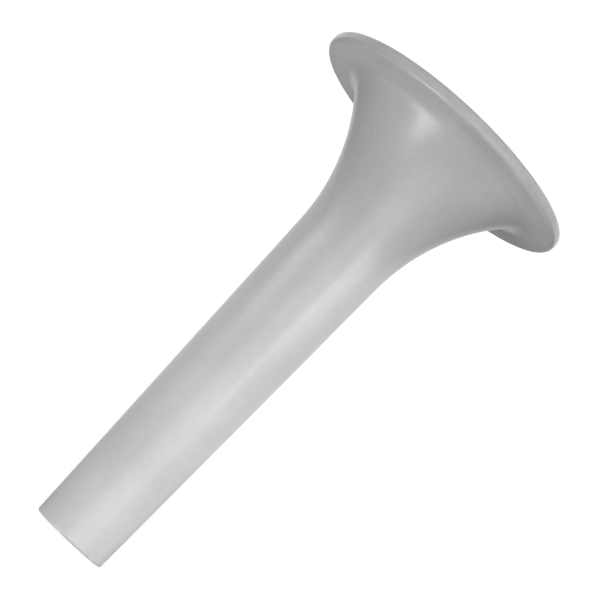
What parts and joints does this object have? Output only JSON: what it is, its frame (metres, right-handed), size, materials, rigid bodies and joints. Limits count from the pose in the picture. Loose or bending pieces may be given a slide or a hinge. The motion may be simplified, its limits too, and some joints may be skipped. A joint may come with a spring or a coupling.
{
  "type": "sausage stuffing tube",
  "caption": "Tapered plastic spout that opens through a long flare into a flat round flange, clamped to a meat grinder to fill sausage casings.",
  "frame": {"origin": "centre of the flange's seat face, which the tube stands on", "axes": "+Z along the spout, from the seat face to the tip; X and Y are alike"},
  "size_m": [0.07, 0.07, 0.125],
  "materials": {
    "plastic": "satin light grey, moulded"
  },
  "bodies": {
    "root": {"stuffing_tube": "plastic"}
  },
  "joints": []
}
